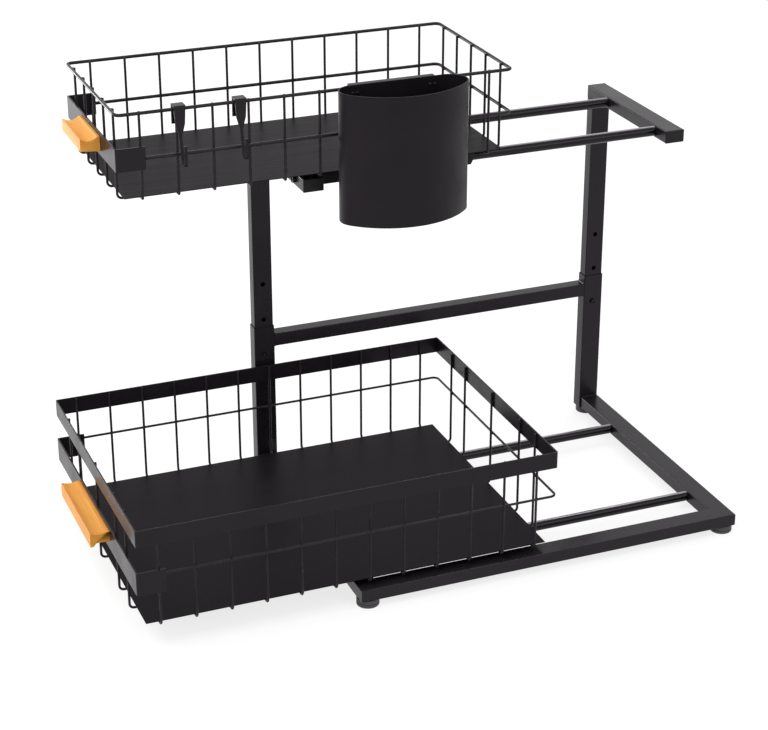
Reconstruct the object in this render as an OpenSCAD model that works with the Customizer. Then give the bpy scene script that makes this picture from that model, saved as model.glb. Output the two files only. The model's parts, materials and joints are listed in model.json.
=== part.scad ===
// Two-tier pull-out cabinet basket: an open-sided tube frame, two wire drawers that slide on
// round rods, a hanging cup and two rim hooks.
// Millimetres, +Z up. The drawers pull out toward -Y; the posts stand on the -X side.

/* [Frame] */
// Width of the base frame, X
base_w = 314; // [304:1:326]
// Depth of the base frame, Y
base_d = 400; // [396:1:430]
// Wide side of the frame tube
tube_w = 20; // [18:0.5:21]
// Narrow side of the frame tube
tube_h = 12.5; // [12:0.5:14]
// Wall of the frame tube
tube_wall = 1; // [0.8:0.1:1.5]
// Wall of the sleeves that the posts slide in
sleeve_wall = 0.8; // [0.6:0.1:1.2]
// Top of the sleeves above the floor
sleeve_top = 165.3; // [158:0.1:180]
// Underside of the two top arms above the floor
arm_z = 364.4; // [355:0.1:375]
// Length of a top arm, X
arm_l = 168.4; // [165:0.1:190]
// Underside of the crossbar
crossbar_z = 142.3; // [132:0.1:145]
// Spacing of the height holes
hole_pitch = 39; // [36:0.5:40]
// Diameter of a height hole
hole_d = 5; // [4:0.5:6]
// Height of the lock screws
screw_z = 134.5; // [132:0.1:137]
// Diameter of the slide rods
rod_d = 10; // [8:0.5:10]

/* [Feet] */
// Height of a foot under the frame
foot_h = 7.5; // [5:0.5:12]
// Diameter of a foot
foot_d = 22; // [18:1:24]

/* [Upper drawer] */
// How far the upper drawer is pulled out
upper_pull = 196; // [0:1:196]
// Width of the upper basket over its rim centre line
upper_w = 172.6; // [165:0.1:180]
// Length of the upper basket over its rim centre line
upper_l = 379.6; // [375:0.1:382]
// Height of the rim above the underside of the long bottom wires
upper_h = 83.9; // [70:0.1:95]
// Height of the mid wire above the same underside
upper_mid_h = 42.3; // [40:0.1:45]
// Diameter of the rim and mid wires
rim_d = 3.2; // [2.4:0.1:3.6]
// Diameter of the bent basket wires
upper_wire_d = 2.4; // [1.8:0.1:2.6]
// Distance between bent wires, both ways
upper_pitch = 33.6; // [32:0.1:34]

/* [Lower drawer] */
// How far the lower drawer is pulled out
lower_pull = 200; // [0:1:200]
// Width of the lower basket over its rim band
lower_w = 289.3; // [285:0.1:292]
// Length of the lower basket over its rim band
lower_l = 412.9; // [410:0.1:415]
// Height of the band's lower edge above the underside of the long bottom wires
lower_band_z = 87.4; // [80:0.1:92]
// Height of the rim band
band_h = 16.8; // [14:0.1:20]
// Diameter of the bent basket wires
lower_wire_d = 2.4; // [1.8:0.1:2.6]
// Distance between the cross wires
lower_pitch = 33.8; // [32:0.1:34]

/* [Fronts and handles] */
// Thickness of the front straps and the rim band
strap_t = 1.5; // [1.2:0.1:1.7]
// Height of the upper front strap
upper_strap_h = 21.4; // [20:0.1:24]
// Height of the lower front strap
lower_strap_h = 23; // [20:0.1:25]
// Length of a strap's side leg
strap_leg = 27.4; // [24:0.1:30]
// Length of the upper wood handle
upper_handle_l = 66; // [60:1:80]
// Length of the lower wood handle
lower_handle_l = 109; // [100:1:120]

/* [Cup and hooks] */
// Width of the cup
cup_w = 125; // [115:0.1:130]
// Depth of the cup
cup_depth = 53.7; // [50:0.1:58]
// Height of the cup
cup_h = 123.7; // [100:0.1:130]
// Wall of the cup
cup_wall = 1.2; // [1:0.1:1.6]
// Cup centre, measured back from the upper rim's front
cup_at = 262.9; // [250:0.5:290]
// Width of the cup's hanger strip
hanger_w = 84; // [70:1:90]
// Width of a rim hook
hook_w = 10.8; // [8:0.1:12]
// Front hook centre, measured back from the upper rim's front
hook_1_at = 57.2; // [50:0.1:62]
// Back hook centre, measured back from the upper rim's front
hook_2_at = 113.5; // [108:0.1:120]

/* [Hidden] */
$fn = 48;
eps = 0.01;
fit = 0.1;          // clearance of the posts in the sleeves, each side
skin = 0.3;         // gap between pieces that slide past each other

// frame
x_near = base_w / 2;
x_far = -base_w / 2;
y_back = base_d / 2;
y_front = -base_d / 2;
bar_z = foot_h;
bar_top = bar_z + tube_h;
sleeve_x = tube_h + 2 * (sleeve_wall + fit);
sleeve_y = tube_w + 2 * (sleeve_wall + fit);
inset = sleeve_wall + fit;
post_x = x_far + inset;
post_bottom = 92;
arm_top = arm_z + tube_h;
arm_end = x_far + inset + arm_l;
plug_t = 1.5;
plug_in = 8;
sleeve_plug_h = 6;
crossbar_t = 14;
crossbar_h = 14;
rod_r = rod_d / 2;
rod_in = 4;
lower_rod_z = bar_z + tube_h / 2;
upper_rod_z = arm_z + tube_h / 2;
screw_r = 2;
screw_head_r = 2.9;
screw_head_h = 2.2;
hole_count = 4;

// screws that hold the front end of each slide rod
rod_screw_r = 2;
rod_screw_head_r = 3.6;
rod_screw_head_h = 3;
rod_screw_in = 12;  // into the end of the rod
rod_screw_key = 2.2;
rod_screw_key_in = 2;

// slide rods: the two of each drawer, by their distance from the tubes beside them
upper_rod_from_post = 43.5;
upper_rod_from_end = 24.1;
upper_rod_x = [post_x + upper_rod_from_post, arm_end - upper_rod_from_end];
lower_rod_from_post = 71;
lower_rod_from_side = 42.7;
lower_rod_x = [x_far + sleeve_x + lower_rod_from_post, x_near - tube_w - lower_rod_from_side];

// feet
foot_inset = 10;
foot_stem_r = 3;
foot_stem_h = 4;
foot_edge = 1;
far_foot_x = x_far + sleeve_x / 2;
near_foot_x = x_near - foot_inset;

// slider clips
clip_w = 16;
clip_l = 36;
clip_cut = 3;
clip_below = 6.4;
clip_bore_r = rod_r + 0.05;
clip_gap = 0.5;     // from the bar in front of the first slider, fully pulled out
upper_travel = 196;
lower_travel = 200;
upper_clip_step = 122.6;
lower_clip_step = 121.5;
plate_t = 0.8;
basket_above = 2;   // from the top of the tubes to the lowest wires of a basket

// upper basket, centre line of the rim; y values at the pulled-out pose
upper_off = 0.7;    // the basket sits this far off the middle of its rods
upper_xc = (upper_rod_x[0] + upper_rod_x[1]) / 2 - upper_off;
upper_x0 = upper_xc - upper_w / 2;
upper_x1 = upper_xc + upper_w / 2;
upper_front_in = 20.8;
upper_closed_front = y_front + upper_front_in;
upper_y0 = upper_closed_front - upper_pull;
upper_y1 = upper_y0 + upper_l;
rim_r = rim_d / 2;
uw_r = upper_wire_d / 2;
upper_under = arm_top + basket_above;
upper_rim_z = upper_under + upper_h;
upper_mid_z = upper_under + upper_mid_h;
upper_in = rim_r + uw_r;
upper_long_z = upper_under + uw_r;
upper_cross_z = upper_long_z + 2 * uw_r;
upper_plate_z = upper_cross_z + uw_r;
upper_tip = 1;
upper_wire_top = upper_rim_z + upper_tip;
upper_side_bend = 1.6;
upper_end_bend = 4.5;
upper_plate_over = 2;       // how far the plate reaches over the bends of the long wires
upper_rim_bend = 5.5;
upper_mid_bend = 6;
upper_cross_n = 11;
upper_long_n = 5;
upper_beside = 8.8;     // from the slider clips' flanks to the wires beside them
upper_inner = [
    upper_rod_x[0] - upper_off + clip_w / 2 + upper_beside,
    upper_rod_x[1] - upper_off - clip_w / 2 - upper_beside];
upper_long_x = [
    upper_rod_x[0] - upper_off - clip_w / 2 - upper_beside,
    for (i = [0 : upper_long_n - 3])
        upper_inner[0] + i * (upper_inner[1] - upper_inner[0]) / (upper_long_n - 3),
    upper_rod_x[1] - upper_off + clip_w / 2 + upper_beside];
upper_strap_z = upper_mid_z - upper_strap_h / 2;
upper_strap_t = rim_r;
upper_strap_out = 1.9;
upper_strap_y = upper_y0 - upper_strap_out;
upper_clip_y = [for (d = [0, upper_clip_step])
    y_front + inset + tube_w + clip_gap + upper_travel - upper_pull + d];

// lower basket, outer faces of the band; y values at the pulled-out pose
lower_off = 1.55;
lower_xc = (lower_rod_x[0] + lower_rod_x[1]) / 2 - lower_off;
lower_x0 = lower_xc - lower_w / 2;
lower_x1 = lower_xc + lower_w / 2;
lower_front_out = 12;
lower_closed_front = y_front - lower_front_out;
lower_y0 = lower_closed_front - lower_pull;
lower_y1 = lower_y0 + lower_l;
lw_r = lower_wire_d / 2;
lower_under = bar_z + tube_h + basket_above;
band_z = lower_under + lower_band_z;
band_bend = 2;
lower_in = strap_t + lw_r;
lower_long_z = lower_under + lw_r;
lower_cross_z = lower_long_z + 2 * lw_r;
lower_plate_z = lower_cross_z + lw_r;
lower_tip_drop = 0.8;
lower_wire_top = band_z + band_h - lower_tip_drop;
lower_side_bend = 4;
lower_end_bend = 4.6;
lower_mid_h = 57.6;
lower_mid_z = lower_under + lower_mid_h;
lower_mid_bend = 6;
lower_cross_n = 12;
lower_beside = [10.55, 8.25, 11.35, 7.45];     // from the slider clips' flanks to the wires beside them
lower_long_x = [
    lower_rod_x[0] - clip_w / 2 - lower_beside[0],
    lower_rod_x[0] + clip_w / 2 + lower_beside[1],
    lower_xc,
    lower_rod_x[1] - clip_w / 2 - lower_beside[2],
    lower_rod_x[1] + clip_w / 2 + lower_beside[3]];
lower_strap_drop = 18.7;
lower_strap_z = lower_mid_z - lower_strap_drop;
lower_strap_out = 1;
lower_strap_y = lower_y0 - lower_strap_out;
lower_clip_y = [for (d = [0, lower_clip_step])
    y_front + tube_w + clip_gap + lower_travel - lower_pull + d];

// front straps, wood handles and their screws
strap_bend = 2.2;
upper_handle_d = 18.1;
lower_handle_d = 18.6;
wood_screw_r = 1.75;
wood_screw_in = 10;
wood_screw_head_r = 3.5;
wood_screw_head_h = 1.8;
upper_screw_at = 16.8;
lower_screw_at = 32.6;

// the grips' profiles: heights from their screws, depths from their front edge
upper_grip_low = 5.3;
upper_grip_lip = 6;
upper_grip_flat = 1.2;
upper_grip_back = 7.3;
upper_grip_heel = 6.8;
upper_scoop_in = 8;
upper_scoop_up = 14.4;
upper_scoop_r = 10.8;
lower_grip_low = 7.4;
lower_grip_lip = 6.7;
lower_grip_back = 6;
lower_grip_heel = 4.1;
lower_grip_foot = 6;
lower_grip_toe = 3;
lower_scoop_in = 9;
lower_scoop_up = 27;
lower_scoop_r = 22;

// cup: a flat back, two round corners and a front arc that is tangent to them
strip_t = 1.2;
hang_gap = 0.3;
cup_x = upper_x1 + rim_r + skin + strip_t;
cup_y = upper_y0 + cup_at;
cup_above = 1;      // rim of the cup above its hanger
cup_floor = 1.6;
cup_corner = 16.9;
cup_side_y = cup_w / 2 - cup_corner;
cup_front = cup_depth - cup_corner;
cup_front_r = (cup_front * cup_front + cup_side_y * cup_side_y - cup_corner * cup_corner)
    / (2 * (cup_front - cup_corner));
cup_front_x = cup_depth - cup_front_r;
hang_z = upper_rim_z + rim_r + hang_gap;
cup_top = hang_z + strip_t + cup_above;
cup_z = cup_top - cup_h;
hang_in = upper_x1 - upper_in - uw_r - skin;
hanger_off = 3.3;
hanger_y = cup_y - hanger_off;
hanger_leg = 17.7;
hanger_back = 14;
rivet_drop = 8;
rivet_r = 1.6;
rivet_h = 0.6;
rivet_at = 38;
rivet_gap = 4.9;

// hooks
hook_x = upper_x1 + rim_r + skin;
hook_leg = 16.5;
hook_shoulder = 16.8;
hook_neck = 28.5;
hook_tail_w = 2.6;
hook_tail = 48;
hook_lean = 5;
hook_bend_r = 3.8;
hook_tip = 15;
hook_t = 1.8;

// the origin is at the centre of the bottom of the whole object as it stands
min_x = far_foot_x - foot_d / 2;
max_x = near_foot_x + foot_d / 2;
min_y = lower_strap_y - lower_handle_d;
max_y = y_back - foot_inset + foot_d / 2;
origin = [-(min_x + max_x) / 2, -(min_y + max_y) / 2, 0];

black = [0.16, 0.155, 0.16];
plastic = [0.1, 0.1, 0.1];
steel = [0.2, 0.2, 0.21];
wood = [0.86, 0.6, 0.32];

// ---- shared shapes -------------------------------------------------------------------------

module block(x, y, z) translate([x[0], y[0], z[0]]) cube([x[1] - x[0], y[1] - y[0], z[1] - z[0]]);

module rod_x(x, y, z, r) translate([x[0], y, z]) rotate([0, 90, 0]) cylinder(r = r, h = x[1] - x[0]);
module rod_y(x, y, z, r) translate([x, y[1], z]) rotate([90, 0, 0]) cylinder(r = r, h = y[1] - y[0]);
module rod_z(x, y, z, r) translate([x, y, z[0]]) cylinder(r = r, h = z[1] - z[0]);

// a quarter ring of round wire in the XY plane, from the +X to the +Y direction of its centre
module elbow(bend, r) rotate_extrude(angle = 90) translate([bend, 0]) circle(r = r);

// a square-ended quarter bend standing in the XZ plane, mirrored where wanted
module foot_elbow(bend, r) rotate([90, 0, 0]) elbow(bend, r);

// a closed loop of round wire with round corners
module wire_loop(x, y, z, bend, r) {
    for (s = [0, 1]) {
        rod_y(x[s], [y[0] + bend, y[1] - bend], z, r);
        rod_x([x[0] + bend, x[1] - bend], y[s], z, r);
    }
    translate([x[1] - bend, y[1] - bend, z]) elbow(bend, r);
    translate([x[0] + bend, y[1] - bend, z]) rotate([0, 0, 90]) elbow(bend, r);
    translate([x[0] + bend, y[0] + bend, z]) rotate([0, 0, 180]) elbow(bend, r);
    translate([x[1] - bend, y[0] + bend, z]) rotate([0, 0, 270]) elbow(bend, r);
}

// a wire that runs along both sides and round the back only
module wire_u(x, y, z, bend, r) {
    for (s = [0, 1]) rod_y(x[s], [y[0], y[1] - bend], z, r);
    rod_x([x[0] + bend, x[1] - bend], y[1], z, r);
    translate([x[1] - bend, y[1] - bend, z]) elbow(bend, r);
    translate([x[0] + bend, y[1] - bend, z]) rotate([0, 0, 90]) elbow(bend, r);
}

// one wire bent down, across and up again, in the XZ plane at y
module cross_wire(x, y, z, top, bend, r) {
    for (s = [0, 1]) rod_z(x[s], y, [z + bend, top], r);
    rod_x([x[0] + bend, x[1] - bend], y, z, r);
    translate([x[0] + bend, y, z + bend]) rotate([90, 0, 0]) rotate([0, 0, 180]) elbow(bend, r);
    translate([x[1] - bend, y, z + bend]) rotate([90, 0, 0]) rotate([0, 0, 270]) elbow(bend, r);
}

// the same wire in the YZ plane at x
module long_wire(x, y, z, top, bend, r) {
    for (s = [0, 1]) rod_z(x, y[s], [z + bend, top], r);
    rod_y(x, [y[0] + bend, y[1] - bend], z, r);
    translate([x, y[0] + bend, z + bend]) rotate([90, 0, 90]) rotate([0, 0, 180]) elbow(bend, r);
    translate([x, y[1] - bend, z + bend]) rotate([90, 0, 90]) rotate([0, 0, 270]) elbow(bend, r);
}

module round_rect(x, y, r) {
    translate([x[0] + r, y[0]]) square([x[1] - x[0] - 2 * r, y[1] - y[0]]);
    translate([x[0], y[0] + r]) square([x[1] - x[0], y[1] - y[0] - 2 * r]);
    for (i = [0, 1], j = [0, 1])
        translate([x[i] + (i == 0 ? r : -r), y[j] + (j == 0 ? r : -r)]) circle(r = r);
}

// ---- base frame ----------------------------------------------------------------------------

// a mitred bar of the base: outer plan minus the plan of its hollow
module base_bar(outer, inner) difference() {
    translate([0, 0, bar_z]) linear_extrude(tube_h) polygon(outer);
    translate([0, 0, bar_z + tube_wall]) linear_extrude(tube_h - 2 * tube_wall) polygon(inner);
}

// the front bar's two plans; s = 1 mirrors them to the back
module end_bar(s) {
    t = tube_wall;
    w = tube_w;
    x0 = x_far + sleeve_x;
    difference() {
        base_bar(
            [[x0, s * y_back], [x_near, s * y_back], [x_near - w, s * (y_back - w)], [x0, s * (y_back - w)]],
            [[x0 - 1, s * (y_back - t)], [x_near - t, s * (y_back - t)],
             [x_near - w + t, s * (y_back - w + t)], [x0 - 1, s * (y_back - w + t)]]);
        for (x = lower_rod_x)
            translate([x, s * (y_back - w / 2), lower_rod_z])
                rotate([s * 90, 0, 0]) cylinder(r = rod_r, h = w);
        translate([near_foot_x, s * (y_back - foot_inset), bar_z - 1])
            cylinder(r = foot_stem_r, h = tube_wall + 2);
    }
}

module base_front_bar() color(black) difference() {
    end_bar(-1);
    for (x = lower_rod_x) rod_y(x, [y_front - 1, y_front + tube_wall + 0.5], lower_rod_z, rod_screw_r);
}

module base_back_bar() color(black) end_bar(1);

module base_side_bar() color(black) {
    t = tube_wall;
    w = tube_w;
    difference() {
        base_bar(
            [[x_near, y_front], [x_near, y_back], [x_near - w, y_back - w], [x_near - w, y_front + w]],
            [[x_near - t, y_front + t], [x_near - t, y_back - t],
             [x_near - w + t, y_back - w + t], [x_near - w + t, y_front + w - t]]);
        for (s = [-1, 1])
            translate([near_foot_x, s * (y_back - foot_inset), bar_z - 1])
                cylinder(r = foot_stem_r, h = tube_wall + 2);
    }
}

// the fixed lower half of a post: a square tube with a tapped hole for the lock screw
module sleeve(y0) difference() {
    block([x_far, x_far + sleeve_x], [y0, y0 + sleeve_y], [bar_z, sleeve_top]);
    block([x_far + sleeve_wall, x_far + sleeve_x - sleeve_wall],
          [y0 + sleeve_wall, y0 + sleeve_y - sleeve_wall], [bar_z - 1, sleeve_top + 1]);
    rod_x([x_far + sleeve_x - sleeve_wall - 0.5, x_far + sleeve_x + 1], y0 + sleeve_y / 2, screw_z, screw_r);
}

module front_sleeve() color(black) sleeve(y_front);

module back_sleeve() color(black) sleeve(y_back - sleeve_y);

module crossbar() color(black) {
    x = [x_far + sleeve_x - crossbar_t, x_far + sleeve_x];
    y = [y_front + sleeve_y, y_back - sleeve_y];
    t = tube_wall;
    difference() {
        block(x, y, [crossbar_z, crossbar_z + crossbar_h]);
        block([x[0] + t, x[1] - t], [y[0] - 1, y[1] + 1], [crossbar_z + t, crossbar_z + crossbar_h - t]);
    }
}

// a slide rod with a tapped hole in its front end
module slide_rod(x, y, z) difference() {
    rod_y(x, y, z, rod_r);
    rod_y(x, [y[0] - 1, y[0] + rod_screw_in], z, rod_screw_r);
}

// the screw in a rod's front end: its head lies on the bar's front face
module rod_screw(x, face, rod_end, z) difference() {
    union() {
        rod_y(x, [face - rod_screw_head_h, face], z, rod_screw_head_r);
        rod_y(x, [face - eps, rod_end + rod_screw_in], z, rod_screw_r);
    }
    translate([x, face - rod_screw_head_h + rod_screw_key_in, z]) rotate([90, 0, 0])
        cylinder(r = rod_screw_key, h = rod_screw_key_in + 1, $fn = 6);
}

lower_rod_y = [y_front + tube_w - rod_in, y_back - tube_w + rod_in];

module lower_slide_rods() color(steel)
    for (x = lower_rod_x) slide_rod(x, lower_rod_y, lower_rod_z);

module lower_rod_screws() color(steel)
    for (x = lower_rod_x) rod_screw(x, y_front, lower_rod_y[0], lower_rod_z);

module foot(x, y) translate([x, y, 0]) {
    rotate_extrude() {
        square([foot_d / 2 - foot_edge, foot_h]);
        translate([0, foot_edge]) square([foot_d / 2, foot_h - foot_edge]);
        translate([foot_d / 2 - foot_edge, foot_edge]) circle(r = foot_edge);
    }
    translate([0, 0, foot_h - 1]) cylinder(r = foot_stem_r, h = 1 + foot_stem_h);
}

module feet() color(plastic)
    for (x = [far_foot_x, near_foot_x], s = [-1, 1]) foot(x, s * (y_back - foot_inset));

// closes a sleeve from below and takes the stem of the foot
module sleeve_plugs() color(plastic)
    for (s = [-1, 1])
        difference() {
            block([x_far + sleeve_wall, x_far + sleeve_x - sleeve_wall],
                  s < 0 ? [y_front + sleeve_wall, y_front + sleeve_y - sleeve_wall]
                        : [y_back - sleeve_y + sleeve_wall, y_back - sleeve_wall],
                  [bar_z, bar_z + sleeve_plug_h]);
            translate([far_foot_x, s * (y_back - foot_inset), bar_z - 1])
                cylinder(r = foot_stem_r, h = 1 + foot_stem_h);
        }

module height_lock_screws() color(steel)
    for (y = [y_front + sleeve_y / 2, y_back - sleeve_y / 2])
        difference() {
            union() {
                rod_x([x_far + sleeve_x - sleeve_wall, x_far + sleeve_x + eps], y, screw_z, screw_r);
                rod_x([x_far + sleeve_x, x_far + sleeve_x + screw_head_h], y, screw_z, screw_head_r);
            }
            translate([x_far + sleeve_x + screw_head_h - 1, y, screw_z]) rotate([0, 90, 0])
                cylinder(r = 1.6, h = 2, $fn = 6);
        }

// ---- upper frame ---------------------------------------------------------------------------

// the sliding upper half of a post, with its row of height holes
module post(y0) difference() {
    t = tube_wall;
    block([post_x, post_x + tube_h], [y0, y0 + tube_w], [post_bottom, arm_z]);
    block([post_x + t, post_x + tube_h - t], [y0 + t, y0 + tube_w - t], [post_bottom - 1, arm_z + 1]);
    for (i = [-1 : hole_count - 2])
        rod_x([post_x + tube_h - t - 0.5, post_x + tube_h + 1], y0 + tube_w / 2,
              screw_z + i * hole_pitch, hole_d / 2);
}

module front_post() color(black) post(y_front + inset);

module back_post() color(black) post(y_back - inset - tube_w);

// a top arm, with holes in its inner wall where the slide rods enter
module arm(y0, inner) difference() {
    t = tube_wall;
    ends = [post_x + plug_t, arm_end - plug_t];
    block(ends, [y0, y0 + tube_w], [arm_z, arm_top]);
    block([ends[0] - 1, ends[1] + 1], [y0 + t, y0 + tube_w - t], [arm_z + t, arm_top - t]);
    for (x = upper_rod_x)
        rod_y(x, [inner - 1.5, inner + 1.5], upper_rod_z, rod_r);
}

module front_arm() color(black) difference() {
    arm(y_front + inset, y_front + inset + tube_w);
    for (x = upper_rod_x)
        rod_y(x, [y_front + inset - 1, y_front + inset + tube_wall + 0.5], upper_rod_z, rod_screw_r);
}

module back_arm() color(black) arm(y_back - inset - tube_w, y_back - inset - tube_w);

// a cap with a stem that plugs a tube end; s = 1 faces +X
module end_plug(x, y0, s) {
    t = tube_wall;
    block(s > 0 ? [x - plug_t, x] : [x, x + plug_t], [y0, y0 + tube_w], [arm_z, arm_top]);
    block(s > 0 ? [x - plug_t - plug_in, x - plug_t] : [x + plug_t, x + plug_t + plug_in],
          [y0 + t, y0 + tube_w - t], [arm_z + t, arm_top - t]);
}

module arm_end_plugs() color(plastic)
    for (y0 = [y_front + inset, y_back - inset - tube_w]) {
        end_plug(arm_end, y0, 1);
        end_plug(post_x, y0, -1);
    }

upper_rod_y = [y_front + inset + tube_w - rod_in, y_back - inset - tube_w + rod_in];

module upper_slide_rods() color(steel)
    for (x = upper_rod_x) slide_rod(x, upper_rod_y, upper_rod_z);

module upper_rod_screws() color(steel)
    for (x = upper_rod_x) rod_screw(x, y_front + inset, upper_rod_y[0], upper_rod_z);

// ---- parts that both drawers use -----------------------------------------------------------

// a flat strip bent round the front corners of a basket
module strap(x, y0, z, h, t, screw_x, screw_z) difference() {
    translate([0, 0, z]) linear_extrude(h) difference() {
        round_rect(x, [y0, y0 + 2 * strap_leg], strap_bend);
        round_rect([x[0] + t, x[1] - t], [y0 + t, y0 + 2 * strap_leg - t], strap_bend - t);
        translate([x[0] - 1, y0 + strap_leg]) square([x[1] - x[0] + 2, 2 * strap_leg]);
    }
    for (sx = screw_x) rod_y(sx, [y0 - 1, y0 + t + 1], screw_z, wood_screw_r);
}

// the wood screws, driven through the strap from inside the basket
module wood_screws(xs, y, z, t) for (x = xs) {
    rod_y(x, [y - wood_screw_in, y + t + eps], z, wood_screw_r);
    rod_y(x, [y + t, y + t + wood_screw_head_h], z, wood_screw_head_r);
}

// a slider block on a rod: bored for the rod, grooved for the cross wire, chamfered at both ends
module slider_clip(x, y0, rod_z, top, wire_y, wire_z, wire_r) {
    z0 = rod_z - clip_below;
    difference() {
        translate([x + clip_w / 2, 0, 0]) rotate([0, -90, 0]) linear_extrude(clip_w)
            polygon([[z0, y0 + clip_cut], [z0 + clip_cut * 2, y0], [top, y0], [top, y0 + clip_l],
                     [z0 + clip_cut * 2, y0 + clip_l], [z0, y0 + clip_l - clip_cut]]);
        rod_y(x, [y0 - 1, y0 + clip_l + 1], rod_z, clip_bore_r);
        for (wy = wire_y)
            if (wy > y0 && wy < y0 + clip_l) {
                rod_x([x - clip_w, x + clip_w], wy, wire_z, wire_r);
                block([x - clip_w, x + clip_w], [wy - wire_r, wy + wire_r], [wire_z, top + 1]);
            }
    }
}

// ---- lower drawer --------------------------------------------------------------------------

lower_wire_y = [for (i = [0 : lower_cross_n - 1])
    (lower_y0 + lower_y1) / 2 + (i - (lower_cross_n - 1) / 2) * lower_pitch];
lower_vx = [lower_x0 + lower_in, lower_x1 - lower_in];
lower_vy = [lower_y0 + lower_in, lower_y1 - lower_in];

module lower_rim_band() color(black)
    translate([0, 0, band_z]) linear_extrude(band_h) difference() {
        round_rect([lower_x0, lower_x1], [lower_y0, lower_y1], band_bend);
        round_rect([lower_x0 + strap_t, lower_x1 - strap_t],
                   [lower_y0 + strap_t, lower_y1 - strap_t], band_bend - strap_t);
    }

module lower_mid_wire() color(black)
    wire_u([lower_vx[0] - 2 * lw_r, lower_vx[1] + 2 * lw_r],
           [lower_strap_y + strap_leg, lower_vy[1] + 2 * lw_r], lower_mid_z, lower_mid_bend, lw_r);

module lower_cross_wires() color(black)
    for (y = lower_wire_y)
        cross_wire(lower_vx, y, lower_cross_z, lower_wire_top, lower_side_bend, lw_r);

module lower_long_wires() color(black)
    for (x = lower_long_x)
        long_wire(x, lower_vy, lower_long_z, lower_wire_top, lower_end_bend, lw_r);

module lower_plate() color(plastic)
    block([lower_vx[0] + lower_side_bend, lower_vx[1] - lower_side_bend],
          [lower_vy[0] + lower_end_bend, lower_vy[1] - lower_end_bend],
          [lower_plate_z, lower_plate_z + plate_t]);

lower_screw_x = [lower_xc - lower_screw_at, lower_xc + lower_screw_at];
lower_screw_drop = 5;
lower_screw_z = lower_mid_z - lower_screw_drop;

module lower_front_strap() color(black)
    strap([lower_x0, lower_x1], lower_strap_y, lower_strap_z, lower_strap_h, strap_t,
          lower_screw_x, lower_screw_z);

// a grip with a hollow along its top and a lip under its front edge
module lower_handle() color(wood) difference() {
    translate([lower_xc - lower_handle_l / 2, 0, 0]) rotate([90, 0, 90]) linear_extrude(lower_handle_l)
        translate([lower_strap_y - lower_handle_d, lower_screw_z]) difference() {
            polygon([[0, -lower_grip_low], [0, lower_grip_lip], [lower_handle_d, lower_grip_back],
                     [lower_handle_d, -lower_grip_heel], [lower_grip_foot, -lower_grip_heel],
                     [lower_grip_toe, -lower_grip_low]]);
            translate([lower_scoop_in, lower_scoop_up]) circle(r = lower_scoop_r, $fn = 96);
        }
    for (x = lower_screw_x)
        rod_y(x, [lower_strap_y - wood_screw_in, lower_strap_y + 1], lower_screw_z, wood_screw_r);
}

module lower_handle_screws() color(steel)
    wood_screws(lower_screw_x, lower_strap_y, lower_screw_z, strap_t);

module lower_slider_clips() color(plastic)
    for (x = lower_rod_x, y0 = lower_clip_y)
        slider_clip(x, y0, lower_rod_z, lower_plate_z,
                    lower_wire_y, lower_cross_z, lw_r);

// ---- upper drawer --------------------------------------------------------------------------

upper_wire_y = [for (i = [0 : upper_cross_n - 1])
    (upper_y0 + upper_y1) / 2 + (i - (upper_cross_n - 1) / 2) * upper_pitch];
upper_vx = [upper_x0 + upper_in, upper_x1 - upper_in];
upper_vy = [upper_y0 + upper_in, upper_y1 - upper_in];

module upper_rim_wire() color(black)
    wire_loop([upper_x0, upper_x1], [upper_y0, upper_y1], upper_rim_z, upper_rim_bend, rim_r);

module upper_mid_wire() color(black)
    wire_u([upper_x0, upper_x1], [upper_strap_y + strap_leg, upper_y1], upper_mid_z, upper_mid_bend, rim_r);

module upper_cross_wires() color(black)
    for (y = upper_wire_y)
        cross_wire(upper_vx, y, upper_cross_z, upper_wire_top, upper_side_bend, uw_r);

module upper_long_wires() color(black)
    for (x = upper_long_x)
        long_wire(x, upper_vy, upper_long_z, upper_wire_top, upper_end_bend, uw_r);

module upper_plate() color(plastic)
    block([upper_vx[0] + upper_side_bend, upper_vx[1] - upper_side_bend],
          [upper_vy[0] + upper_end_bend - upper_plate_over, upper_vy[1] - upper_end_bend + upper_plate_over],
          [upper_plate_z, upper_plate_z + plate_t]);

upper_screw_x = [upper_xc - upper_screw_at, upper_xc + upper_screw_at];

module upper_front_strap() color(black)
    strap([upper_x0, upper_x1], upper_strap_y, upper_strap_z, upper_strap_h, upper_strap_t,
          upper_screw_x, upper_mid_z);

// a grip with a finger scoop in its top
module upper_handle() color(wood) difference() {
    translate([upper_xc - upper_handle_l / 2, 0, 0]) rotate([90, 0, 90]) linear_extrude(upper_handle_l)
        translate([upper_strap_y - upper_handle_d, upper_mid_z]) difference() {
            polygon([[0, -upper_grip_low], [0, upper_grip_lip], [upper_grip_flat, upper_grip_lip],
                     [upper_handle_d, upper_grip_back], [upper_handle_d, -upper_grip_heel]]);
            translate([upper_scoop_in, upper_scoop_up]) circle(r = upper_scoop_r, $fn = 96);
        }
    for (x = upper_screw_x)
        rod_y(x, [upper_strap_y - wood_screw_in, upper_strap_y + 1], upper_mid_z, wood_screw_r);
}

module upper_handle_screws() color(steel)
    wood_screws(upper_screw_x, upper_strap_y, upper_mid_z, upper_strap_t);

module upper_slider_clips() color(plastic)
    for (x = upper_rod_x, y0 = upper_clip_y)
        slider_clip(x, y0, upper_rod_z, upper_plate_z,
                    upper_wire_y, upper_cross_z, uw_r);

// ---- cup -----------------------------------------------------------------------------------

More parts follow.
